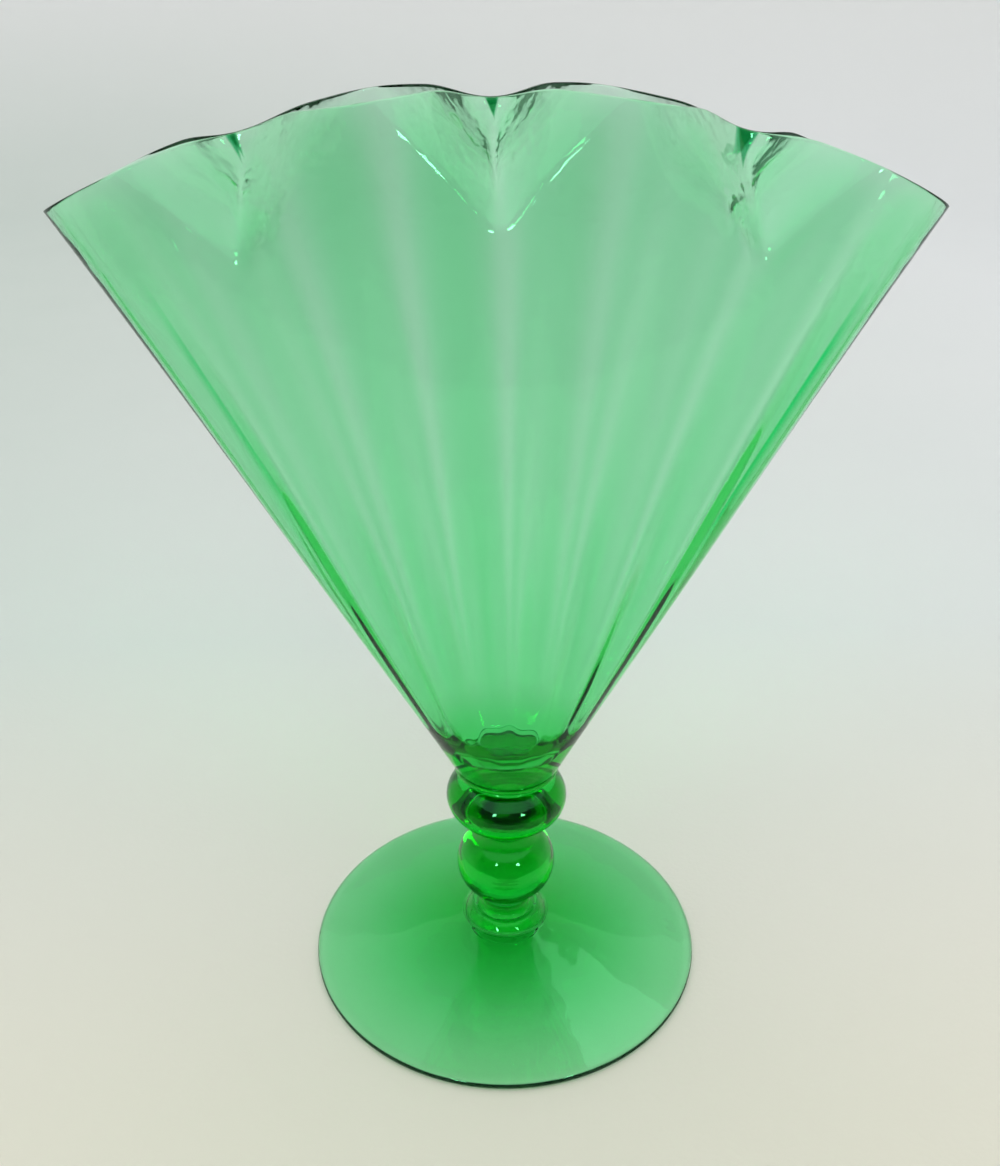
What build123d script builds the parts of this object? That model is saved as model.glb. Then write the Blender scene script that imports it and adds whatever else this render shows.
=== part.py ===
from build123d import *
import bisect
import math
import os

# Fan vase of hand-made transparent glass. Millimetres, +Z up.
# X runs along the width of the fan, -Y is the front, and the origin is the centre of the foot on the table.
# Six gathers of hot glass stand on each other face to face:
# foot, foot wafer, two knops, bowl wafer and fan bowl.

# Foot: a spread disc with a shallow cone on top and a domed, ground underside
foot_radius = 51.0
foot_edge_thickness = 1.9
foot_edge_rounding = 0.7
foot_centre_height = 9.6
foot_cone_bulge = 0.7
foot_ring_width = 3.0
foot_dome_height = 2.2
ground_spot_radius = 9.0
ground_spot_depth = 0.6

# Foot wafer: a drop of glass sunk to a low mound, wide on the foot and narrow under the stem
foot_wafer_radius = 11.6
foot_wafer_top_radius = 8.2
foot_wafer_thickness = 2.6

# Lower knop: a ball on a short drawn-in neck
lower_knop_radius = 12.85
lower_knop_half_height = 11.2
lower_neck_foot_radius = 7.9
lower_neck_radius = 6.0
lower_neck_length = 5.1

# Waist, where the two knops were stuck together
waist_radius = 7.8
waist_below_joint = 3.2
waist_above_joint = 2.2

# Upper knop: a wider ball, pressed flatter
upper_knop_radius = 15.5
upper_knop_half_height = 9.15
upper_neck_radius = 10.2
upper_neck_length = 2.1

# How far a knop's necks stand inside the ball where the curves meet
neck_blend = 0.8

# Bowl wafer: the thin collar under the bowl
bowl_wafer_radius = 13.3
bowl_wafer_thickness = 2.0
bowl_wafer_bulge = 0.6

# Fan bowl, outside: straight sides that flare a little at the rim. In plan it is round at the base and a
# blunt-ended oval above.
bowl_base_radius = 13.4
bowl_base_rounding = 0.6
side_spread_angle = 28.9
rim_flare = 2.8
rim_flare_power = 4
depth_radius_at_base = 13.6
depth_radius_at_rim = 22.6
section_bluntness_power = 0.65
blunting_height = 60.0
bowl_lean_angle = 0.6

# Fan bowl, rim: an arc about the fan's centre, pinched together at three places
corner_height = 192.5
rim_arc_rise = 22.0
pinch_places = (-50.7, -2.4, 47.9)
pinch_half_width = 23.2
pinch_drop = 24.0
pinch_gap = 1.0
crease_softness = 1.5
rim_dips = (1.4, 2.2, 2.0)
rim_dip_half_width = 12.5
rim_overrun = 3.0

# Fan bowl, inside: thin at the rim and thick at the base, with optic ribs pressed into the hot glass
rim_wall = 1.3
base_wall = 4.0
wall_taper_power = 5
base_thickness = 4.1
floor_radius = 8.3
heel_height = 11.0
rib_count = 18
rib_height = 1.0
rib_fade_height = 45.0
section_points = 72

# Heights of the joints, worked out from the table up
foot_wafer_base = foot_centre_height
lower_knop_base = foot_wafer_base + foot_wafer_thickness


def joined_half_height(knop_radius, half_height, neck_radius):
    """How far from a ball's centre its ellipse is as narrow as the neck that meets it."""
    return half_height * math.sqrt(1 - (neck_radius / knop_radius) ** 2)


lower_knop_centre = (
    lower_knop_base + lower_neck_length + joined_half_height(
        lower_knop_radius, lower_knop_half_height, lower_neck_radius + neck_blend))
upper_knop_base = (
    lower_knop_centre + waist_below_joint + joined_half_height(
        lower_knop_radius, lower_knop_half_height, waist_radius + neck_blend))
upper_knop_centre = (
    upper_knop_base + waist_above_joint + joined_half_height(
        upper_knop_radius, upper_knop_half_height, waist_radius + neck_blend))
bowl_wafer_base = (
    upper_knop_centre + upper_neck_length + joined_half_height(
        upper_knop_radius, upper_knop_half_height, upper_neck_radius + neck_blend))
bowl_base = bowl_wafer_base + bowl_wafer_thickness

os.makedirs("parts", exist_ok=True)


# Foot, turned in profile: ground spot, domed underside, resting ring, rounded edge and cone top
foot_flat_radius = foot_radius - foot_edge_rounding
ring_inner_radius = foot_flat_radius - foot_ring_width
dome_sphere_radius = (ring_inner_radius ** 2 + foot_dome_height ** 2) / (2 * foot_dome_height)


def dome_point(radius):
    """A point on the domed underside: part of a sphere whose centre is far below the foot."""
    drop = dome_sphere_radius - math.sqrt(dome_sphere_radius ** 2 - radius ** 2)
    return radius, foot_dome_height - drop


spot_rim = dome_point(ground_spot_radius)
spot_level = spot_rim[1] + ground_spot_depth

with BuildPart() as foot:
    with BuildSketch(Plane.XZ):
        with BuildLine():
            spot = Line((0, spot_level), (ground_spot_radius, spot_level))
            spot_wall = Line(spot @ 1, spot_rim)
            dome = ThreePointArc(
                spot_rim, dome_point((ground_spot_radius + ring_inner_radius) / 2), (ring_inner_radius, 0))
            ring = Line(dome @ 1, (foot_flat_radius, 0))
            edge = ThreePointArc(
                ring @ 1, (foot_radius, foot_edge_thickness / 2), (foot_flat_radius, foot_edge_thickness))
            cone_middle = (edge @ 1 + Vector(foot_wafer_radius, foot_centre_height)) / 2
            cone = ThreePointArc(
                edge @ 1, cone_middle - Vector(0, foot_cone_bulge), (foot_wafer_radius, foot_centre_height))
            seat = Line(cone @ 1, (0, foot_centre_height))
            axis = Line(seat @ 1, spot @ 0)
        make_face()
    revolve(axis=Axis.Z)

foot.part.label = "foot"
export_step(foot.part, "parts/foot.step")


# Foot wafer: a flat seat, a rounded shoulder and a flat top for the stem
with BuildPart() as foot_wafer:
    with BuildSketch(Plane.XZ):
        with BuildLine():
            seat = Line((0, foot_wafer_base), (foot_wafer_radius, foot_wafer_base))
            top = Line((foot_wafer_top_radius, lower_knop_base), (0, lower_knop_base))
            shoulder = TangentArc(top @ 0, seat @ 1, tangent=(1, 0))
            axis = Line(top @ 1, seat @ 0)
        make_face()
    revolve(axis=Axis.Z)

foot_wafer.part.label = "foot_wafer"
export_step(foot_wafer.part, "parts/foot_wafer.step")


def ball_arc(centre, knop_radius, half_height, lower_meeting_radius, upper_meeting_radius):
    """A ball's bulging outline, from the neck that meets it below to the one above."""
    angle_below = math.degrees(math.acos(lower_meeting_radius / knop_radius))
    angle_above = math.degrees(math.acos(upper_meeting_radius / knop_radius))
    return EllipticalCenterArc(
        (0, centre), knop_radius, half_height, -angle_below, arc_size=angle_below + angle_above)


# Lower knop: drawn-in neck, ball, and the lower side of the waist between the knops
with BuildPart() as lower_knop:
    with BuildSketch(Plane.XZ):
        with BuildLine():
            ball = ball_arc(
                lower_knop_centre, lower_knop_radius, lower_knop_half_height,
                lower_neck_radius + neck_blend, waist_radius + neck_blend)
            waist = TangentArc((waist_radius, upper_knop_base), ball @ 1, tangent=(0, -1))
            joint = Line(waist @ 0, (0, upper_knop_base))
            axis = Line(joint @ 1, (0, lower_knop_base))
            seat = Line(axis @ 1, (lower_neck_foot_radius, lower_knop_base))
            neck = ThreePointArc(
                seat @ 1, (lower_neck_radius, lower_knop_base + lower_neck_length / 2), ball @ 0)
        make_face()
    revolve(axis=Axis.Z)

lower_knop.part.label = "lower_knop"
export_step(lower_knop.part, "parts/lower_knop.step")


# Upper knop: the upper side of the waist, a flatter ball and a short neck under the bowl wafer
with BuildPart() as upper_knop:
    with BuildSketch(Plane.XZ):
        with BuildLine():
            ball = ball_arc(
                upper_knop_centre, upper_knop_radius, upper_knop_half_height,
                waist_radius + neck_blend, upper_neck_radius + neck_blend)
            neck = TangentArc((upper_neck_radius, bowl_wafer_base), ball @ 1, tangent=(0, -1))
            joint = Line(neck @ 0, (0, bowl_wafer_base))
            axis = Line(joint @ 1, (0, upper_knop_base))
            seat = Line(axis @ 1, (waist_radius, upper_knop_base))
            waist = TangentArc(seat @ 1, ball @ 0, tangent=(0, 1))
        make_face()
    revolve(axis=Axis.Z)

upper_knop.part.label = "upper_knop"
export_step(upper_knop.part, "parts/upper_knop.step")


# Bowl wafer: a thin disc pressed flat on both sides, with an edge that bulges out
bowl_wafer_flat_radius = bowl_wafer_radius - bowl_wafer_bulge
with BuildPart() as bowl_wafer:
    with BuildSketch(Plane.XZ):
        with BuildLine():
            under = Line((0, bowl_wafer_base), (bowl_wafer_flat_radius, bowl_wafer_base))
            rounded_edge = ThreePointArc(
                under @ 1, (bowl_wafer_radius, bowl_wafer_base + bowl_wafer_thickness / 2),
                (bowl_wafer_flat_radius, bowl_base))
            top = Line(rounded_edge @ 1, (0, bowl_base))
            axis = Line(top @ 1, under @ 0)
        make_face()
    revolve(axis=Axis.Z)

bowl_wafer.part.label = "bowl_wafer"
export_step(bowl_wafer.part, "parts/bowl_wafer.step")


# Fan bowl. Every level section is worked out from its height; the rim is cut afterwards.
lean_slope = math.tan(math.radians(bowl_lean_angle))
side_slope = math.tan(math.radians(side_spread_angle))
rim_arc_top = corner_height + rim_arc_rise
cavity_floor = bowl_base + base_thickness


def height_share(height):
    """0 at the bowl's base and 1 at the top of the rim's arc."""
    return (height - bowl_base) / (rim_arc_top - bowl_base)


def lean(height):
    """How far the section's centre has moved sideways, because the bowl was stuck on a little askew."""
    return -lean_slope * (height - bowl_base)


def rounded_in(height):
    """How far the base's rounded edge stands back from the side: a quarter circle at the foot of the bowl."""
    below_rounding = max(bowl_base_rounding - (height - bowl_base), 0)
    return bowl_base_rounding - math.sqrt(bowl_base_rounding ** 2 - below_rounding ** 2)


def half_width(height):
    """Straight sides, with a flare that only shows near the rim."""
    flare = rim_flare * height_share(height) ** rim_flare_power
    return bowl_base_radius + side_slope * (height - bowl_base) + flare - rounded_in(height)


corner_half_width = half_width(corner_height)
rim_arc_radius = (corner_half_width ** 2 + rim_arc_rise ** 2) / (2 * rim_arc_rise)
rim_arc_centre = rim_arc_top - rim_arc_radius


def rim_height(x):
    """The rim in front view: an arc about the fan's centre, less a dip at each pinch, a raised cosine."""
    height = rim_arc_centre + math.sqrt(rim_arc_radius ** 2 - x ** 2)
    for place, dip in zip(pinch_places, rim_dips):
        near = 1 - min(abs(x - place) / rim_dip_half_width, 1)
        height -= dip * math.sin(math.pi / 2 * near) ** 2
    return height


def pinch_strength(x, height):
    """How far the wall is drawn in to the middle plane: 1 at a pinch on the rim, fading sideways and down.
    What is left of the pinch narrows downwards, so each is a V with a crease along its middle."""
    below_rim = max(rim_height(x) - height, 0)
    strength = 0
    for place in pinch_places:
        sideways = math.hypot(x - place, crease_softness) - crease_softness
        near = 1 - min(sideways / pinch_half_width + below_rim / pinch_drop, 1)
        strength += math.sin(math.pi / 2 * near) ** 2
    return strength


def half_depth(height):
    """Grows fast at the base and levels off at the rim: a parabola of the height."""
    gain = 1 - (1 - height_share(height)) ** 2
    full_gain = depth_radius_at_rim - depth_radius_at_base
    return depth_radius_at_base + full_gain * gain - rounded_in(height)


def oval_point(height, angle):
    """A point on a section before it is pinched: an ellipse at the base, with blunter ends above."""
    round_left = 1 - min((height - bowl_base) / blunting_height, 1)
    power = section_bluntness_power + (1 - section_bluntness_power) * round_left ** 2
    sine = math.sin(angle)
    return half_width(height) * math.cos(angle), math.copysign(half_depth(height) * abs(sine) ** power, sine)


def girth_points(height):
    """Angles round a section, closer at its ends, each with its share of the girth from the end."""
    steps = section_points * 20
    angles = [2 * math.pi * k / steps for k in range(steps + 1)]
    around = [oval_point(height, angle) for angle in angles]
    lengths = [0]
    for a, b in zip(around, around[1:]):
        lengths.append(lengths[-1] + math.dist(a, b))
    shares = [run / lengths[-1] for run in lengths]
    even_mix = [(share + angle / (2 * math.pi)) / 2 for share, angle in zip(shares, angles)]
    picked = [bisect.bisect_left(even_mix, k / section_points) for k in range(section_points)]
    return [(angles[k], shares[k]) for k in picked]


def outer_section(height):
    """A blunt-ended oval in plan, with the front and back drawn together at the pinches."""
    least_depth = rim_wall + pinch_gap / 2
    points = []
    for angle, share in girth_points(height):
        x, y = oval_point(height, angle)
        drawn = max(abs(y) - least_depth, 0) * pinch_strength(x, height)
        points.append((x, y - math.copysign(drawn, y)))
    return points


def cavity_section(height):
    """The outer section moved in square to itself by the wall and its ribs, over a round floor."""
    outer = outer_section(height)
    shares = [share for angle, share in girth_points(height)]
    wall = rim_wall + (base_wall - rim_wall) * (1 - height_share(height)) ** wall_taper_power
    above_floor = height - cavity_floor
    rib_growth = min(above_floor / rib_fade_height, 1)
    heel = (1 - min(above_floor / heel_height, 1)) ** 2
    points = []
    for k, (x, y) in enumerate(outer):
        before = outer[k - 1]
        after = outer[(k + 1) % section_points]
        along = (after[0] - before[0], after[1] - before[1])
        chord = math.hypot(*along)
        rib = rib_height * rib_growth * (1 - pinch_strength(x, height))
        rib_profile = (1 + math.cos(2 * math.pi * rib_count * shares[k])) / 2
        inset = wall + rib * rib_profile
        free = (x - inset * along[1] / chord, y + inset * along[0] / chord)
        turn = 2 * math.pi * shares[k]
        on_floor = (floor_radius * math.cos(turn), floor_radius * math.sin(turn))
        points.append((
            on_floor[0] * heel + free[0] * (1 - heel),
            on_floor[1] * heel + free[1] * (1 - heel)))
    return points


# Section heights, as shares of the rise from the base or the floor: close at both ends, wide between
base_rounding_shares = (0, 0.3)
outer_height_shares = (0, 0.03, 0.1, 0.24, 0.44, 0.66, 0.73, 0.78, 0.82, 0.86, 0.9, 0.94, 1)
cavity_height_shares = (0, 0.012, 0.03, 0.06, 0.12, 0.24, 0.42, 0.65, 0.72, 0.77, 0.81, 0.85, 0.89, 0.93, 1)
section_top = rim_arc_top + rim_overrun
rounding_top = bowl_base + bowl_base_rounding
outer_heights = [bowl_base + share * bowl_base_rounding for share in base_rounding_shares]
outer_heights += [rounding_top + share * (section_top - rounding_top) for share in outer_height_shares]
cavity_heights = [cavity_floor + share * (section_top - cavity_floor) for share in cavity_height_shares]


def level_sketch(height, points):
    """A closed smooth outline through the points, on the level at that height."""
    with BuildSketch(Plane((lean(height), 0, height))) as level:
        with BuildLine():
            add(Edge.make_spline(points, periodic=True, parameters=list(range(section_points + 1))))
        make_face()
    return level.sketch


outer_levels = [level_sketch(height, outer_section(height)) for height in outer_heights]
cavity_levels = [level_sketch(height, cavity_section(height)) for height in cavity_heights]
rim_shift = lean(corner_height)
rim_reach = corner_half_width + rim_overrun
rim_steps = 60
rim_line_points = [
    (x + rim_shift, rim_height(x))
    for x in (rim_reach * (2 * k / rim_steps - 1) for k in range(rim_steps + 1))]

with BuildPart() as fan_bowl:
    loft(outer_levels, ruled=True)
    loft(cavity_levels, ruled=True, mode=Mode.SUBTRACT)
    with BuildSketch(Plane.XZ):
        with BuildLine():
            rim_line = Spline(rim_line_points)
            right_side = Line(rim_line @ 1, (rim_reach + rim_shift, bowl_base))
            under_side = Line(right_side @ 1, (rim_shift - rim_reach, bowl_base))
            left_side = Line(under_side @ 1, rim_line @ 0)
        make_face()
    extrude(amount=depth_radius_at_rim + rim_overrun, both=True, mode=Mode.INTERSECT)

fan_bowl.part.label = "fan_bowl"
export_step(fan_bowl.part, "parts/fan_bowl.step")
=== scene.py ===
import bpy
import numpy as np
from mathutils import Matrix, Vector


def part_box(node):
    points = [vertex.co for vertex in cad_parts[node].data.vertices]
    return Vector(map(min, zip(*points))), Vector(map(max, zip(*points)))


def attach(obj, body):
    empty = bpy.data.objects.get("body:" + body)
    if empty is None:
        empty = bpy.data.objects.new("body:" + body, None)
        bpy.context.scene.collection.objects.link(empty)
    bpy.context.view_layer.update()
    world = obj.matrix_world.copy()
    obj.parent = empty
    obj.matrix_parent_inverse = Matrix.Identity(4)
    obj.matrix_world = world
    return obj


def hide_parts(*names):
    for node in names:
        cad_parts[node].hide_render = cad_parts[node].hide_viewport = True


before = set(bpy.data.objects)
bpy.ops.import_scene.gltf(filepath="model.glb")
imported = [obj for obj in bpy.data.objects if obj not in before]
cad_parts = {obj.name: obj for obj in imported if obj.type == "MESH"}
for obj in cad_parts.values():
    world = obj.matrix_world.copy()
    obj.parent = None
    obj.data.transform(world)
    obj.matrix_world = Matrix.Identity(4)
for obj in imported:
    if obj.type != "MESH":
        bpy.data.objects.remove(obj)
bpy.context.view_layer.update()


# Foot: a gather of hot green glass spread into a disc with paddles, thick in the middle, thin at the edge.
# Its top rises in a shallow cone to the stem, its underside is domed, and it stands on a narrow worn ring.
foot_radius = 51.0
foot_edge_thickness = 1.9
foot_edge_rounding = 0.7
foot_ring_width = 3.0
foot_dome_height = 2.2
foot_cone_bulge = 0.7
ground_spot_radius = 9.0
ground_spot_depth = 0.6
foot_wafer_radius = 11.6
spot_corner_width = 0.2
foot_softness = 0.25
foot_oval, foot_oval_turn = 0.004, 0.9
ring_wear = 0.35
spot_frosting = 0.4
paddle_waves = 0.0004
softening_step = 0.12
softening_points = 24
kept_length = 0.6
kept_bend = np.radians(1.5)
full_turn = 2 * np.pi
foot_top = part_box("foot")[1].z * 1000


def circle_arc(start, middle, end, count):
    """Points at even angles on the circle through three points, whose centre is as far from each of them."""
    start, middle, end = (np.array(p, float) for p in (start, middle, end))
    sides = 2 * np.array([middle - start, end - start])
    centre = np.linalg.solve(sides, [middle @ middle - start @ start, end @ end - start @ start])
    first, through, last = (np.arctan2(*(p - centre)[::-1]) for p in (start, middle, end))
    leftwards = (through - first) % full_turn < (last - first) % full_turn
    swept = (last - first) % full_turn if leftwards else -((first - last) % full_turn)
    angle = np.linspace(first, first + swept, count)[:, None]
    return centre + np.linalg.norm(start - centre) * np.hstack([np.cos(angle), np.sin(angle)])


def softened(profile, reach):
    """The profile in small even steps, each point the mean of its neighbours, weighted by a bell curve whose
    width is reach. One point is kept for each kept_length of travel and each kept_bend of turning."""
    run = np.concatenate([[0], np.cumsum(np.linalg.norm(np.diff(profile, axis=0), axis=1))])
    steps = np.linspace(0, run[-1], int(run[-1] / softening_step))
    even = np.stack([np.interp(steps, run, profile[:, k]) for k in (0, 1)], 1)
    apart = np.arange(-softening_points, softening_points + 1) * steps[1]
    weight = np.exp(-(apart / reach) ** 2)
    before_start = 2 * even[0] - even[softening_points:0:-1]
    past_end = 2 * even[-1] - even[-2:-softening_points - 2:-1]
    mirrored = np.concatenate([before_start, even, past_end])
    smooth = np.stack([np.convolve(mirrored[:, k], weight / weight.sum(), "valid") for k in (0, 1)], 1)
    legs = np.diff(smooth, axis=0)
    heading = np.unwrap(np.arctan2(legs[:, 1], legs[:, 0]))
    bends = np.abs(np.diff(heading, prepend=heading[0])) / kept_bend
    need = np.concatenate([[0], np.cumsum(np.linalg.norm(legs, axis=1) / kept_length + bends)])
    kept = np.searchsorted(need, np.arange(int(need[-1])))
    return smooth[np.unique(np.append(kept, len(need) - 1))]


def ring_faces(rows, columns):
    """Faces between rings of points. A pole is point 0, and the j-th of ring i is point 1 + i columns + j.
    Each face joins (i, j), (i, j + 1), (i + 1, j + 1) and (i + 1, j)."""
    column = np.arange(columns)
    after = (column + 1) % columns
    first = 1 + np.arange(rows - 1)[:, None] * columns
    corners = [first + column, first + after, first + after + columns, first + column + columns]
    return np.stack(corners, -1).reshape(-1, 4)


def pole_faces(pole, ring_start, columns):
    """A fan of triangles from a pole to the ring whose first point is ring_start."""
    column = np.arange(columns)
    return np.stack([column * 0 + pole, ring_start + column, ring_start + (column + 1) % columns], -1)


def smooth_piece(name, points, *faces):
    """A mesh of points in millimetres and lists of faces, shaded smooth."""
    mesh = bpy.data.meshes.new(name)
    mesh.from_pydata((points / 1000).tolist(), [], sum((group.tolist() for group in faces), []))
    mesh.polygons.foreach_set("use_smooth", np.ones(len(mesh.polygons), bool))
    piece = bpy.data.objects.new(name, mesh)
    bpy.context.scene.collection.objects.link(piece)
    return piece


def closed_skin(name, rings, lower_pole, upper_pole):
    """A closed surface through rings of points, from one pole to the other, its faces turned outwards."""
    rows, columns = rings.shape[:2]
    points = np.concatenate([[lower_pole], rings.reshape(-1, 3), [upper_pole]])
    under_fan = pole_faces(0, 1, columns)[:, [0, 2, 1]]
    over_fan = pole_faces(rows * columns + 1, 1 + (rows - 1) * columns, columns)
    return smooth_piece(name, points, ring_faces(rows, columns), under_fan, over_fan)


def turned_piece(name, profile, oval, oval_turn, columns=288):
    """A profile of radii and heights turned about the upright axis: x = r w cos a, y = r w sin a, z = h.
    The factor w = 1 - oval (1 - cos 2(a - oval_turn)) / 2 is the slight oval that hand work leaves."""
    angle = np.linspace(0, full_turn, columns, endpoint=False)
    roundness = 1 - oval * (1 - np.cos(2 * (angle - oval_turn))) / 2
    radius, height = profile[1:-1, 0, None], profile[1:-1, 1, None]
    rings = np.stack(np.broadcast_arrays(
        radius * roundness * np.cos(angle), radius * roundness * np.sin(angle), height), -1)
    return closed_skin(name, rings, (0, 0, profile[0, 1]), (0, 0, profile[-1, 1]))


class Wire:
    """A node's socket in a recipe. A sum, product or power of wires and numbers adds its Math node."""

    def __init__(self, recipe, socket):
        self.recipe, self.socket = recipe, socket

    def maths(self, operation, *values):
        return self.recipe.maths(operation, *values)

    def __add__(self, other):
        return self.maths("ADD", self, other)

    def __radd__(self, other):
        return self.maths("ADD", other, self)

    def __sub__(self, other):
        return self.maths("SUBTRACT", self, other)

    def __rsub__(self, other):
        return self.maths("SUBTRACT", other, self)

    def __mul__(self, other):
        return self.maths("MULTIPLY", self, other)

    def __rmul__(self, other):
        return self.maths("MULTIPLY", other, self)

    def __truediv__(self, other):
        return self.maths("DIVIDE", self, other)

    def __pow__(self, other):
        return self.maths("POWER", self, other)

    def clipped(self):
        return self.maths("MINIMUM", self.maths("MAXIMUM", self, 0), 1)


class Recipe:
    """The nodes of one material, or of the world."""

    def __init__(self, owner):
        self.owner = owner
        owner.use_nodes = True
        owner.node_tree.nodes.clear()

    def node(self, kind, settings=None, sockets=None, output=0):
        """Adds a node: its settings first, then the values or wires of its sockets. Gives one output."""
        added = self.owner.node_tree.nodes.new("ShaderNode" + kind)
        for key, value in (settings or {}).items():
            setattr(added, key, value)
        for key, value in (sockets or {}).items():
            if isinstance(value, Wire):
                self.owner.node_tree.links.new(value.socket, added.inputs[key])
            else:
                added.inputs[key].default_value = value
        return Wire(self, added.outputs[output]) if len(added.outputs) else None

    def maths(self, operation, *values):
        return self.node("Math", {"operation": operation}, dict(enumerate(values)))

    def mixed(self, share, first, second):
        """The first colour, with a share of the second."""
        return self.node("Mix", {"data_type": "RGBA"}, {"Factor": share, 6: first, 7: second}, 2)

    def place(self):
        """Object coordinates, in metres."""
        return self.node("TexCoord", output="Object")

    def axis(self, name):
        return self.node("SeparateXYZ", {}, {0: self.place()}, name)

    def noise(self, scale, stretch=(1, 1, 1), detail=2.0, shift=(0, 0, 0)):
        """Soft noise, 0 to 1, with so many swellings to the metre along each axis."""
        where = self.node("Mapping", {}, {0: self.place(), "Location": shift, "Scale": stretch})
        return self.node("TexNoise", {}, {"Vector": where, "Scale": scale, "Detail": detail})

    def seeds(self, per_metre, size):
        """Specks, 1 in the middle and 0 outside, scattered so many to the metre along each axis.
        Size is their share of the spacing."""
        spots = self.node("TexVoronoi", {}, {"Vector": self.place(), "Scale": per_metre})
        return (1 - spots / size).clipped()


absorption_per_metre = (250.0, 24.0, 160.0)
clear_tint = (0.985, 1.0, 0.99, 1)
gloss_tint = (0.25, 1.0, 0.5, 1)
glass_bend = 1.5


def clear_skin(glass):
    """The surface lets nearly all light in."""
    return clear_tint


def green_glass(name, relief, relief_depth, haze, skin_tint=clear_skin):
    """Clear green glass: the colour is in its depth, so thick places are dark and thin ones pale.
    Relief is its surface from 0 to 1, relief_depth what 1 stands for in metres, and haze its roughness."""
    glass = Recipe(bpy.data.materials.new(name))
    relief, haze, tint = relief(glass), haze(glass), skin_tint(glass)
    surface = glass.node("Bump", {}, {"Strength": 1.0, "Distance": relief_depth, "Height": relief})
    clear = glass.node("BsdfPrincipled", {}, {
        "Base Color": tint, "Metallic": 0.0, "Roughness": haze, "IOR": glass_bend,
        "Transmission Weight": 1.0, "Specular Tint": gloss_tint, "Normal": surface})
    lamplit = glass.node("LightPath", output="Is Shadow Ray")
    through = glass.node("BsdfTransparent")
    skin = glass.node("MixShader", {}, {0: lamplit, 1: clear, 2: through})
    strongest = max(absorption_per_metre)
    passed = [1 - absorbed / strongest for absorbed in absorption_per_metre]
    body = glass.node("VolumeAbsorption", {}, {"Color": (*passed, 1), "Density": strongest})
    glass.node("OutputMaterial", {}, {"Surface": skin, "Volume": body})
    return glass.owner


def rubbed(glass):
    """A very faint film of handling."""
    return 0.02 * glass.noise(90, detail=4.0) ** 3


edge_start = (foot_radius - foot_edge_rounding, 0)
edge_end = (foot_radius - foot_edge_rounding, foot_edge_thickness)
ring_inner_radius = edge_start[0] - foot_ring_width
dome_sphere_radius = (ring_inner_radius ** 2 + foot_dome_height ** 2) / (2 * foot_dome_height)
dome_radii = np.linspace(ground_spot_radius, ring_inner_radius, 40)
dome_heights = foot_dome_height - dome_sphere_radius + np.sqrt(dome_sphere_radius ** 2 - dome_radii ** 2)
spot_level = dome_heights[0] + ground_spot_depth
cone_middle = (
    (edge_end[0] + foot_wafer_radius) / 2, (foot_edge_thickness + foot_top) / 2 - foot_cone_bulge)
foot_profile = np.concatenate([
    [(0, spot_level), (ground_spot_radius - spot_corner_width, spot_level)],
    np.stack([dome_radii, dome_heights], 1),
    circle_arc(edge_start, (foot_radius, foot_edge_thickness / 2), edge_end, 14),
    circle_arc(edge_end, cone_middle, (foot_wafer_radius, foot_top), 60)[1:],
    [(0, foot_top)]])
foot = turned_piece("foot_glass", softened(foot_profile, foot_softness), foot_oval, foot_oval_turn)


def foot_relief(glass):
    """Slow waves of the paddle, round and round, and a few seeds."""
    return glass.noise(35, (1, 1, 4), 2.0) + 0.15 * glass.seeds(120, 0.1)


def foot_haze(glass):
    """Handling film, a frosted ground spot, and fine scratches where the ring rubs the table."""
    away = (glass.axis("X") ** 2 + glass.axis("Y") ** 2) ** 0.5
    low = (1 - glass.axis("Z") * 4000).clipped()
    ring = ((away - ring_inner_radius / 1000) * 3000).clipped() * low
    scratches = (glass.noise(900, (1, 4, 1), 5.0) * 1.6 - 0.5).clipped()
    underside = 1 - (glass.axis("Z") * 250 - 0.9).clipped()
    spot = (((ground_spot_radius - spot_corner_width) / 1000 - away) * 4000).clipped() * underside
    return rubbed(glass) + ring_wear * ring * scratches + spot_frosting * spot


foot.data.materials.append(green_glass("foot_glass", foot_relief, paddle_waves, foot_haze))
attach(foot, "root")
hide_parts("foot")


# Foot wafer: a small drop of glass that joins the stem to the foot, pressed between them while hot.
# It sank to a low mound that runs out on the foot in a soft slope, and is narrower under the stem.
foot_wafer_top_radius = 8.2
foot_wafer_softness = 0.12
joint_overlap = 0.06
foot_wafer_oval, foot_wafer_oval_turn = 0.012, 2.1
turning_marks = 0.0001


def stem_relief(glass):
    """Faint rings of the turning tool and a few seeds."""
    return glass.noise(60, (1, 1, 6), 3.0) + 0.3 * glass.seeds(150, 0.12)


wafer_low, wafer_high = (corner.z * 1000 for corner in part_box("foot_wafer"))
wafer_reach = foot_wafer_radius - foot_wafer_top_radius
shoulder_share = np.linspace(1, 0, 40)
foot_wafer_profile = np.concatenate([
    [(0, wafer_low - joint_overlap), (foot_wafer_radius, wafer_low - joint_overlap)],
    np.stack([foot_wafer_top_radius + wafer_reach * shoulder_share,
              wafer_high - (wafer_high - wafer_low) * np.sin(np.pi / 2 * shoulder_share) ** 2], 1),
    [(0, wafer_high)]])
foot_wafer = turned_piece(
    "foot_wafer_glass", softened(foot_wafer_profile, foot_wafer_softness),
    foot_wafer_oval, foot_wafer_oval_turn)
foot_wafer.data.materials.append(green_glass("foot_wafer_glass", stem_relief, turning_marks, rubbed))
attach(foot_wafer, "root")
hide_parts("foot_wafer")


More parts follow.
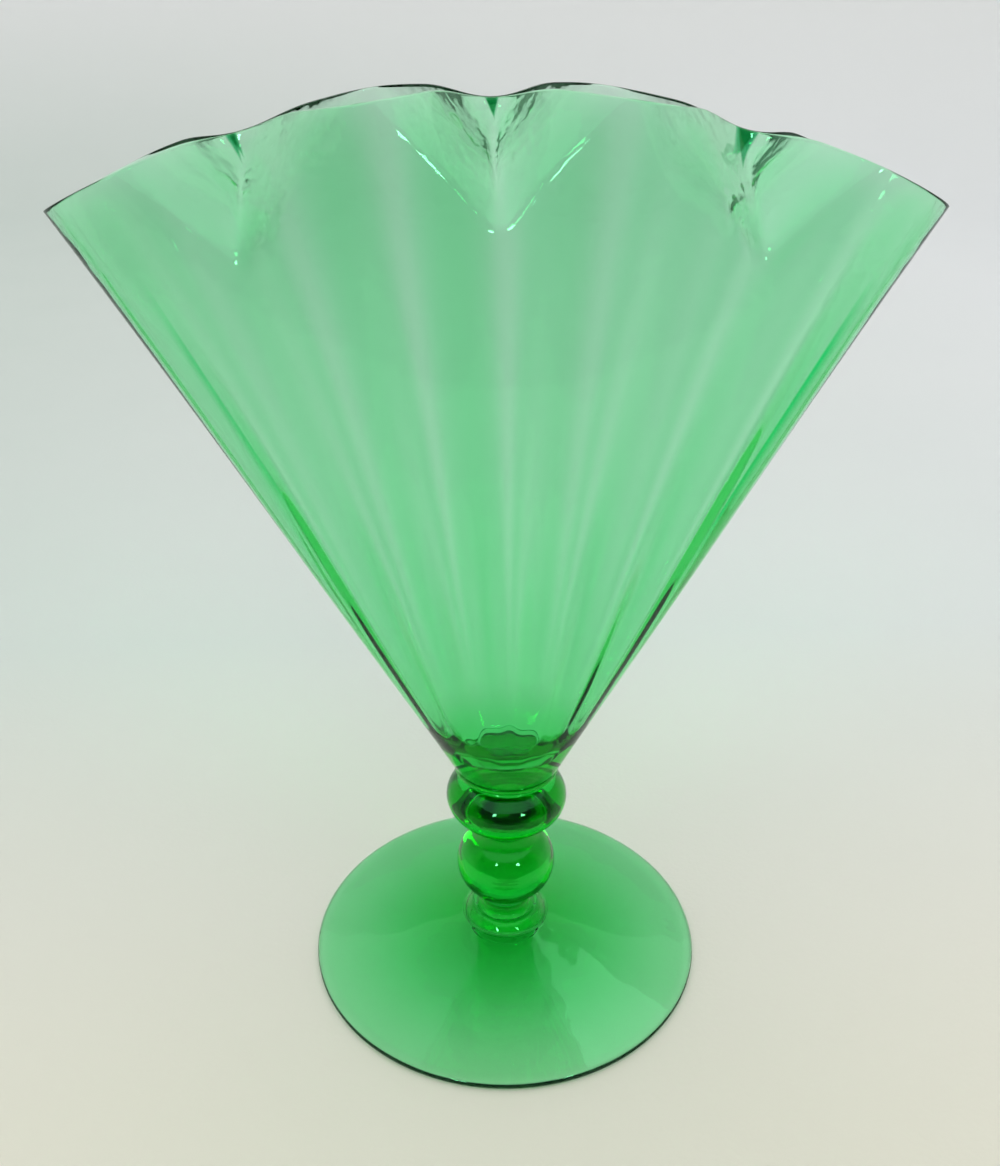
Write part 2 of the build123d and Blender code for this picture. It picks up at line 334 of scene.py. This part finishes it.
# Lower knop: a solid ball of the same glass on a short drawn-in neck, shaped in wooden blocks as it turned.
# Its top is drawn in to half of the waist between the two knops.
lower_knop_radius = 12.85
lower_knop_half_height = 11.2
lower_neck_foot_radius = 7.9
lower_neck_radius = 6.0
lower_neck_length = 5.1
waist_radius = 7.8
neck_blend = 0.8
knop_softness = 0.3
lower_knop_oval, lower_knop_oval_turn = 0.01, 0.4


def ball_side(centre, radius, half_height, lower_radius, upper_radius):
    """The side of a ball: r = R cos u, h = centre + H sin u, from lower_radius, below, to upper_radius."""
    turn = np.linspace(-np.arccos(lower_radius / radius), np.arccos(upper_radius / radius), 120)
    return np.stack([radius * np.cos(turn), centre + half_height * np.sin(turn)], 1)


def neck_arc(neck, meeting):
    """An arc that leaves the neck upright and ends on the ball: its centre is level with the neck's end."""
    across, rise = meeting[0] - neck[0], meeting[1] - neck[1]
    bend = (across ** 2 + rise ** 2) / (2 * across)
    turn = np.linspace(0, np.arcsin(min(abs(rise) / bend, 1)), 16)
    return np.stack([neck[0] + bend * (1 - np.cos(turn)), neck[1] + np.sign(rise) * bend * np.sin(turn)], 1)


lower_low, lower_high = (corner.z * 1000 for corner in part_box("lower_knop"))
lower_meeting = lower_neck_radius + neck_blend
lower_centre = lower_low + lower_neck_length + lower_knop_half_height * np.sqrt(
    1 - (lower_meeting / lower_knop_radius) ** 2)
lower_ball = ball_side(
    lower_centre, lower_knop_radius, lower_knop_half_height, lower_meeting, waist_radius + neck_blend)
lower_neck = circle_arc(
    (lower_neck_foot_radius, lower_low - joint_overlap),
    (lower_neck_radius, lower_low + lower_neck_length / 2), lower_ball[0], 24)
lower_profile = np.concatenate([
    [(0, lower_low - joint_overlap)], lower_neck, lower_ball[1:],
    neck_arc((waist_radius, lower_high), lower_ball[-1])[::-1][1:], [(0, lower_high)]])
lower_knop = turned_piece(
    "lower_knop_glass", softened(lower_profile, knop_softness), lower_knop_oval, lower_knop_oval_turn)
lower_knop.data.materials.append(green_glass("lower_knop_glass", stem_relief, turning_marks, rubbed))
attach(lower_knop, "root")
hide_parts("lower_knop")


# Upper knop: a wider, flatter ball of the same glass, stuck on the lower one at the waist while it was hot.
# A short wide neck above it carries the collar.
upper_knop_radius = 15.5
upper_knop_half_height = 9.15
upper_neck_radius = 10.2
waist_above_joint = 2.2
upper_knop_oval, upper_knop_oval_turn = 0.01, 1.7

upper_low, upper_high = (corner.z * 1000 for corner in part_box("upper_knop"))
upper_centre = upper_low + waist_above_joint + upper_knop_half_height * np.sqrt(
    1 - ((waist_radius + neck_blend) / upper_knop_radius) ** 2)
upper_ball = ball_side(
    upper_centre, upper_knop_radius, upper_knop_half_height,
    waist_radius + neck_blend, upper_neck_radius + neck_blend)
upper_profile = np.concatenate([
    [(0, upper_low - joint_overlap), (waist_radius, upper_low - joint_overlap)],
    neck_arc((waist_radius, upper_low), upper_ball[0]), upper_ball[1:],
    neck_arc((upper_neck_radius, upper_high), upper_ball[-1])[::-1][1:], [(0, upper_high)]])
upper_knop = turned_piece(
    "upper_knop_glass", softened(upper_profile, knop_softness), upper_knop_oval, upper_knop_oval_turn)
upper_knop.data.materials.append(green_glass("upper_knop_glass", stem_relief, turning_marks, rubbed))
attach(upper_knop, "root")
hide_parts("upper_knop")


# Bowl wafer: the thin collar of the same glass that was pressed between the stem and the blown bowl.
# It was flattened hot on both sides, so its edge bulges out.
bowl_wafer_radius = 13.3
bowl_wafer_bulge = 0.6
bowl_wafer_softness = 0.15
bowl_wafer_oval, bowl_wafer_oval_turn = 0.008, 0.2

collar_low, collar_high = (corner.z * 1000 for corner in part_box("bowl_wafer"))
collar_flat = bowl_wafer_radius - bowl_wafer_bulge
collar_profile = np.concatenate([
    [(0, collar_low - joint_overlap)],
    circle_arc(
        (collar_flat, collar_low - joint_overlap), (bowl_wafer_radius, (collar_low + collar_high) / 2),
        (collar_flat, collar_high), 24),
    [(0, collar_high)]])
bowl_wafer = turned_piece(
    "bowl_wafer_glass", softened(collar_profile, bowl_wafer_softness), bowl_wafer_oval, bowl_wafer_oval_turn)
bowl_wafer.data.materials.append(green_glass("bowl_wafer_glass", stem_relief, turning_marks, rubbed))
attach(bowl_wafer, "root")
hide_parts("bowl_wafer")


# Fan bowl: the same glass, blown thin in a ribbed mould, flattened to a fan and opened, and its rim pinched
# together at three places. The wall is ribbed on the inside and thick at the base, which is stuck on the
# collar, and the lip was melted round in the fire.
bowl_base_radius = 13.4
bowl_base_rounding = 0.6
side_spread_angle = 28.9
rim_flare = 2.8
rim_flare_power = 4
depth_radius_at_base = 13.6
depth_radius_at_rim = 22.6
bluntness_power = 0.65
blunting_height = 60.0
bowl_lean_angle = 0.6
corner_height = 192.5
rim_arc_rise = 22.0
pinch_places = (-50.7, -2.4, 47.9)
pinch_half_width = 23.2
pinch_drop = 24.0
pinch_gap = 1.0
crease_softness = 1.5
rim_dips = (1.4, 2.2, 2.0)
rim_dip_half_width = 12.5
rim_wall = 1.3
wall_below_rim = 1.6
base_wall = 4.0
wall_taper_power = 5
base_thickness = 4.1
floor_radius = 8.3
heel_height = 11.0
rib_count = 18
rib_height = 1.0
rib_fade_height = 45.0
melted_height = 4.0
lip_wall = 1.0
bowl_columns = 448
wall_rows = 92
row_crowding = 1.15
girth_levels = 160
small_turn = 0.002
climb_step = 1.0

side_slope = np.tan(np.radians(side_spread_angle))
lean_slope = np.tan(np.radians(bowl_lean_angle))
bowl_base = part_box("fan_bowl")[0].z * 1000
rim_arc_top = corner_height + rim_arc_rise
cavity_floor = bowl_base + base_thickness


def rounded_in(height):
    """How far the base's rounded edge stands back from the side: a quarter circle."""
    short = np.maximum(bowl_base_rounding - (height - bowl_base), 0)
    return bowl_base_rounding - np.sqrt(bowl_base_rounding ** 2 - short ** 2)


def bowl_half_width(height):
    """Straight sides: the base's radius and the spread of the fan, with a flare that shows near the rim."""
    above = height - bowl_base
    flare = rim_flare * (above / (rim_arc_top - bowl_base)) ** rim_flare_power
    return bowl_base_radius + side_slope * above + flare - rounded_in(height)


def bowl_half_depth(height):
    """A parabola of the height that levels off at the rim."""
    left = 1 - (height - bowl_base) / (rim_arc_top - bowl_base)
    gain = (depth_radius_at_rim - depth_radius_at_base) * (1 - left ** 2)
    return depth_radius_at_base + gain - rounded_in(height)


corner_half_width = bowl_half_width(corner_height)
rim_arc_radius = (corner_half_width ** 2 + rim_arc_rise ** 2) / (2 * rim_arc_rise)


def rim_height(x):
    """The rim in front view: an arc about the fan's centre, less a dip at each pinch, a raised cosine."""
    near = 1 - np.minimum(np.abs(np.subtract.outer(x, pinch_places)) / rim_dip_half_width, 1)
    dips = (np.sin(np.pi / 2 * near) ** 2 * rim_dips).sum(-1)
    return rim_arc_top - rim_arc_radius + np.sqrt(rim_arc_radius ** 2 - x ** 2) - dips


def pinching(x, below_rim):
    """1 at each pinch on the rim, and a raised cosine of the way from it, sideways and down together. That
    makes a V with a crease."""
    sideways = np.hypot(np.subtract.outer(x, pinch_places), crease_softness) - crease_softness
    near = 1 - np.minimum(sideways / pinch_half_width + below_rim[..., None] / pinch_drop, 1)
    return (np.sin(np.pi / 2 * near) ** 2).sum(-1)


def oval(turn, height):
    """x = W cos u, y = D |sin u|^p with the sign of sin u. The power p falls from 1 at the base, an ellipse,
    to bluntness_power b at blunting_height and above: p = b + (1 - b) (1 - share of that height)^2."""
    round_left = 1 - np.clip((height - bowl_base) / blunting_height, 0, 1)
    power = bluntness_power + (1 - bluntness_power) * round_left ** 2
    sine = np.sin(turn)
    return (bowl_half_width(height) * np.cos(turn),
            bowl_half_depth(height) * np.sign(sine) * np.abs(sine) ** power)


def outside(turn, height):
    """The outer wall: the oval, its y drawn towards the middle plane at the pinches."""
    x, y = oval(turn, height)
    strength = pinching(x, np.maximum(rim_height(x) - height, 0))
    drawn = np.maximum(np.abs(y) - rim_wall - pinch_gap / 2, 0) * strength
    return x, y - np.sign(y) * drawn, strength


def girth_share(height):
    """How far round from the +X end each column stands, by length: running sums of the oval's chords."""
    levels = np.linspace(bowl_base, rim_arc_top, girth_levels)[:, None]
    along = [np.diff(part, axis=1) for part in oval(np.linspace(0, full_turn, bowl_columns + 1), levels)]
    run = np.cumsum(np.hypot(*along), axis=1)
    table = np.concatenate([run[:, :1] * 0, run[:, :-1]], 1) / run[:, -1:]
    place = (height - bowl_base) / (rim_arc_top - bowl_base) * (girth_levels - 1)
    low = np.clip(place.astype(int), 0, girth_levels - 2)
    column = np.arange(bowl_columns)
    return table[low, column] + (table[low + 1, column] - table[low, column]) * (place - low)


def inward(turn, height):
    """The level direction square to the outer wall, towards the inside."""
    x_before, y_before = outside(turn - small_turn, height)[:2]
    x_after, y_after = outside(turn + small_turn, height)[:2]
    along_x, along_y = x_after - x_before, y_after - y_before
    length = np.hypot(along_x, along_y)
    return -along_y / length, along_x / length


def wall_inset(turn, strength, height):
    """The wall: thick at the base and thinner upwards, plus ribs that fade towards the pinches and the floor.
    In the last few millimetres under the lip, where the fire melted it, the ribs die away and it thins."""
    left = 1 - (height - bowl_base) / (rim_arc_top - bowl_base)
    below_rim = np.maximum(rim_height(bowl_half_width(height) * np.cos(turn)) - height, 0)
    melted = np.exp(-below_rim / melted_height)
    wall = wall_below_rim + (base_wall - wall_below_rim) * left ** wall_taper_power
    growth = np.clip((height - cavity_floor) / rib_fade_height, 0, 1)
    wave = (1 + np.cos(full_turn * rib_count * girth_share(height))) / 2
    rib = rib_height * growth * (1 - strength) * wave
    return (wall + rib) * (1 - melted) + lip_wall * melted


def inside(turn, height):
    """The inner wall: the outer one moved in square to itself by its thickness, blended to a round floor."""
    x, y, strength = outside(turn, height)
    in_x, in_y = inward(turn, height)
    inset = wall_inset(turn, strength, height)
    heel = (1 - np.clip((height - cavity_floor) / heel_height, 0, 1)) ** 2
    round_share = full_turn * girth_share(height)
    return (
        floor_radius * np.cos(round_share) * heel + (x + inset * in_x) * (1 - heel),
        floor_radius * np.sin(round_share) * heel + (y + inset * in_y) * (1 - heel))


turn = np.linspace(0, full_turn, bowl_columns, endpoint=False)
rim = np.full(bowl_columns, rim_arc_top)
for settling in range(40):
    rim = rim_height(bowl_half_width(rim) * np.cos(turn))

# the lip's half circle starts where its radius is left below the rim
lip_x, lip_y, lip_strength = outside(turn, rim)
lip_radius = wall_inset(turn, lip_strength, rim) / 2
lower_x, lower_y = outside(turn, rim - climb_step)[:2]
climb = np.stack([lip_x - lower_x, lip_y - lower_y, np.full(bowl_columns, climb_step)], -1)
climb = climb / np.linalg.norm(climb, axis=1)[:, None]
lip_start = rim - lip_radius * climb[:, 2]
start_x, start_y, start_strength = outside(turn, lip_start)
in_x, in_y = inward(turn, lip_start)
lip_width = wall_inset(turn, start_strength, lip_start) / 2

rise = np.linspace(0, 1, wall_rows)[:, None]
base_turns = np.linspace(0, np.pi / 2, 6)[:-1, None]
rounding_heights = bowl_base + bowl_base_rounding * (1 - np.cos(base_turns)) + 0 * turn
wall_foot = bowl_base + bowl_base_rounding
outer_heights = np.concatenate([rounding_heights, wall_foot + (lip_start - wall_foot) * rise])
outer_x, outer_y = outside(turn, outer_heights)[:2]
outer_rings = np.stack([outer_x, outer_y, outer_heights], -1)

over = np.linspace(0, np.pi, 13)[1:-1, None]
lip_rings = np.stack([
    start_x + in_x * lip_width * (1 - np.cos(over)) + climb[:, 0] * lip_radius * np.sin(over),
    start_y + in_y * lip_width * (1 - np.cos(over)) + climb[:, 1] * lip_radius * np.sin(over),
    lip_start + climb[:, 2] * lip_radius * np.sin(over)], -1)

fall = (1 - rise) ** row_crowding
inner_heights = cavity_floor + (lip_start - cavity_floor) * fall
inner_x, inner_y = inside(turn, inner_heights)
inner_rings = np.stack([inner_x, inner_y, inner_heights], -1)

disc_shares = np.array([0.25, 0.5, 0.75, 0.93])[:, None, None]
base_disc = outer_rings[0] * disc_shares
base_disc[..., 2] = bowl_base - joint_overlap
floor_disc = inner_rings[-1] * disc_shares[::-1]
floor_disc[..., 2] = cavity_floor
outer_rings[0, :, 2] = bowl_base - joint_overlap
bowl_rings = np.concatenate([base_disc, outer_rings, lip_rings, inner_rings, floor_disc])
bowl_rings[..., 0] -= lean_slope * (bowl_rings[..., 2] - bowl_base)
fan_bowl = closed_skin("fan_bowl_glass", bowl_rings, (0, 0, bowl_base - joint_overlap), (0, 0, cavity_floor))


def bowl_relief(glass):
    """Upright streaks where the glass was drawn, soft hammer-like waves, and scattered seeds."""
    streaks = glass.noise(55, (1, 1, 0.18), 3.0)
    waves = glass.noise(22, (1, 1, 0.8), 1.0, (0.3, 0.1, 0.2))
    dimples = glass.noise(210, detail=1.0) * ((glass.axis("Z") - 0.165) * 60).clipped()
    return 0.5 * streaks + 0.8 * waves + 0.05 * glass.seeds(70, 0.05) + 0.45 * dimples


# colours of the thick glass at the folds and the pinches, and places on the front wall, in metres
fold_green = (0.03, 0.86, 0.38, 1)
web_green = (0.08, 0.5, 0.26, 1)
fold_start_x = 0.0187
fold_start_z = 0.0796
fold_slope = 0.512
soft_edge = 0.0004
right_fold_width = 0.0028
left_fold_width = 0.0016
left_fold_depth = 0.6
blown_waves = 0.0003
left_web = {"x_top": -0.0541, "x_low": -0.0518, "z_top": 0.2062, "z_low": 0.2012, "half_width": 0.0010}
middle_web = {"x_top": -0.0042, "x_low": -0.0037, "z_top": 0.2130, "z_low": 0.2088, "half_width": 0.0016}
right_web = {"x_top": 0.0461, "x_low": 0.0440, "z_top": 0.2064, "z_low": 0.2000, "half_width": 0.0022}


def fold_line(glass, side, width, depth):
    """A straight line up one side, on the front wall, where the fold's thick edge begins: sharp on its inner
    edge and fading outwards over its width."""
    outward = side * glass.axis("X") - fold_start_x - fold_slope * (glass.axis("Z") - fold_start_z)
    inner_edge = (1 + outward / soft_edge).clipped()
    outer_fade = (1 - (outward - 0.2 * width) / width).clipped()
    in_front = (glass.axis("Y") * -500).clipped()
    from_base = ((glass.axis("Z") - 0.105) * 40).clipped()
    to_corner = ((0.182 - glass.axis("Z")) * 60).clipped()
    return depth * inner_edge * outer_fade * in_front * from_base * to_corner


def pinch_web(glass, x_top, x_low, z_top, z_low, half_width):
    """A wedge of solid glass where the two walls stuck together: widest at z_top, a point at z_low."""
    fall = glass.maths("MAXIMUM", (z_top - glass.axis("Z")) / (z_top - z_low), 0)
    across = glass.maths("ABSOLUTE", glass.axis("X") - x_top - (x_low - x_top) * fall)
    return (0.5 + (half_width * (1 - fall) - across) / soft_edge).clipped()


def folded_skin(glass):
    """Clear skin, dark green along the two folds and in the webs of the three pinches."""
    right_line = fold_line(glass, 1, right_fold_width, 1.0)
    left_line = fold_line(glass, -1, left_fold_width, left_fold_depth)
    webs = pinch_web(glass, **left_web) + pinch_web(glass, **middle_web) + pinch_web(glass, **right_web)
    lined = glass.mixed(right_line + left_line, clear_tint, fold_green)
    return glass.mixed(webs.clipped(), lined, web_green)


fan_bowl.data.materials.append(green_glass("fan_bowl_glass", bowl_relief, blown_waves, rubbed, folded_skin))
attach(fan_bowl, "root")
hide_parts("fan_bowl")


# Paper sweep: a pale studio sheet laid flat under the vase and curved up all round it, open at the top.
# It is matt and warmer in front. Its back left is painted darker and cooler: painted shade. Nearer the camera
# than a line across the floor it is painted dark: painted shade of a room in shade, which the glass reflects.
sweep_flat_radius = 1300.0
sweep_bend_radius = 500.0
sweep_top = 1500.0
sweep_drop = 0.08
sweep_columns = 128
# painted shade: the flat paper is painted darker and cooler towards the back left, away from the light
shaded_back_left_paper = (0.57, 0.64, 0.61, 1)
back_right_paper = (0.73, 0.76, 0.78, 1)
raised_paper = (0.80, 0.82, 0.83, 1)
front_paper = (0.83, 0.79, 0.66, 1)
faded_paper = (0.84, 0.85, 0.84, 1)
# painted shade: nearer the camera than the line given below, the sweep is painted this dark, as a room in
# shade that the glass reflects
painted_room_shade = (0.20, 0.21, 0.20, 1)
room_shade_line = -0.43
mottling = 0.12

bend = np.linspace(-np.pi / 2, 0, 24)
sweep_profile = np.concatenate([
    np.stack([np.linspace(0, sweep_flat_radius, 30)[1:], np.zeros(29)], 1),
    np.stack([sweep_flat_radius + sweep_bend_radius * np.cos(bend),
              sweep_bend_radius * (1 + np.sin(bend))], 1)[1:],
    [(sweep_flat_radius + sweep_bend_radius, sweep_top)]])
around = np.linspace(0, full_turn, sweep_columns, endpoint=False)
sweep_rings = np.stack(np.broadcast_arrays(
    sweep_profile[:, :1] * np.cos(around), sweep_profile[:, :1] * np.sin(around),
    sweep_profile[:, 1:] - sweep_drop), -1)
sweep_points = np.concatenate([[(0, 0, -sweep_drop)], sweep_rings.reshape(-1, 3)])
paper_sweep = smooth_piece(
    "paper_sweep", sweep_points, ring_faces(len(sweep_rings), sweep_columns)[:, ::-1],
    pole_faces(0, 1, sweep_columns))

paper = Recipe(bpy.data.materials.new("pale_paper"))
nearness = (0.5 - paper.axis("Y") * 3.0).clipped()
rightness = (0.4 + paper.axis("X") * 1.2).clipped()
# painted shade: 1 nearer the camera than the shade line, where the sweep is painted dark as a room in shade
room_shade_share = ((room_shade_line - paper.axis("Y")) * 400).clipped()
raised = (paper.axis("Z") * 4).clipped()
# painted shade: the flat paper darker towards the back left, lighter towards the right
flat_tint = paper.mixed(rightness, shaded_back_left_paper, back_right_paper)
far_tint = paper.mixed(raised, flat_tint, raised_paper)
paper_tint = paper.mixed(nearness, far_tint, front_paper)
mottled_tint = paper.mixed(paper.noise(9, detail=3.0) * mottling, paper_tint, faded_paper)
paper_colour = paper.mixed(room_shade_share, mottled_tint, painted_room_shade)
fibres = paper.node("Bump", {}, {"Strength": 0.3, "Distance": 0.0002, "Height": paper.noise(700, detail=4.0)})
sheet = paper.node("BsdfPrincipled", {}, {
    "Base Color": paper_colour, "Roughness": 0.85, "Specular IOR Level": 0.2, "Normal": fibres})
paper.node("OutputMaterial", {}, {"Surface": sheet})
paper_sweep.data.materials.append(paper.owner)


# Light: a soft pale sky over the open sweep, which lights the paper and the glass. Two small soft boxes,
# either side of the camera, and a larger panel behind on the right only give the glass its highlights.
sky_white = (1.0, 0.985, 0.965, 1)
sky_strength = 1.38
lamp_aim_height = 0.045
box_distance = 1.1
box_size = (0.13, 0.13)
box_watts = 1.8
panel_distance = 1.3
panel_size = (0.20, 0.30)
panel_watts = 0.3

world = bpy.data.worlds.new("soft_sky")
bpy.context.scene.world = world
sky = Recipe(world)
glow = sky.node("Background", {}, {"Color": sky_white, "Strength": sky_strength})
sky.node("OutputWorld", {}, {"Surface": glow})


def soft_box(name, azimuth, elevation, distance, size, watts):
    """A lamp that faces the stem. Azimuth is from the front towards the right, both angles in degrees."""
    aim = np.array([0, 0, lamp_aim_height])
    a, e = np.radians(azimuth), np.radians(elevation)
    way = np.array([np.sin(a) * np.cos(e), -np.cos(a) * np.cos(e), np.sin(e)])
    side = np.array([np.cos(a), np.sin(a), 0])
    turned = np.stack([side, np.cross(way, side), way], 1)
    lamp = bpy.data.lights.new(name, "AREA")
    lamp.shape = "RECTANGLE"
    lamp.size, lamp.size_y = size
    lamp.energy = watts
    holder = bpy.data.objects.new(name, lamp)
    bpy.context.scene.collection.objects.link(holder)
    holder.matrix_world = Matrix.Translation(aim + way * distance) @ Matrix(turned.tolist()).to_4x4()
    holder.visible_camera = False
    holder.visible_diffuse = False


soft_box("soft_box_left", -28, 31, box_distance, box_size, box_watts)
soft_box("soft_box_right", 29, 30, box_distance, box_size, box_watts)
soft_box("back_panel", 147.5, 56.5, panel_distance, panel_size, panel_watts)


# Camera: where the photograph was taken, a little above the rim and close by, looking down at the stem.
# Its place and turns come from the foot's ellipse and the fan's corners in the photograph.
focal_pixels = 1136.4
photo_height = 1166
sensor_size = 36.0
nearest_seen = 0.01
pitch = np.radians(26.896)
roll = np.radians(0.312)
yaw = np.radians(3.827)
stand_back, stand_high, stand_aside = 235.455, 227.601, 1.925

spin = np.array([[np.cos(yaw), np.sin(yaw), 0], [-np.sin(yaw), np.cos(yaw), 0], [0, 0, 1]])
look = np.array([0, np.cos(pitch), -np.sin(pitch)])
level_up = np.array([0, np.sin(pitch), np.cos(pitch)])
level_right = np.array([1, 0, 0])
right = np.cos(roll) * level_right + np.sin(roll) * level_up
up = np.cos(roll) * level_up - np.sin(roll) * level_right
axes = spin @ np.stack([right, up, -look], 1)
stand = spin @ np.array([-stand_aside, -stand_back, stand_high]) / 1000
camera = bpy.data.cameras.new("photo_camera")
camera.sensor_fit = "AUTO"
camera.sensor_width = sensor_size
camera.lens = focal_pixels * sensor_size / photo_height
camera.clip_start = nearest_seen
camera_stand = bpy.data.objects.new("photo_camera", camera)
bpy.context.scene.collection.objects.link(camera_stand)
camera_stand.matrix_world = Matrix.Translation(stand) @ Matrix(axes.tolist()).to_4x4()
bpy.context.scene.camera = camera_stand
bpy.context.scene.view_settings.view_transform = "Standard"
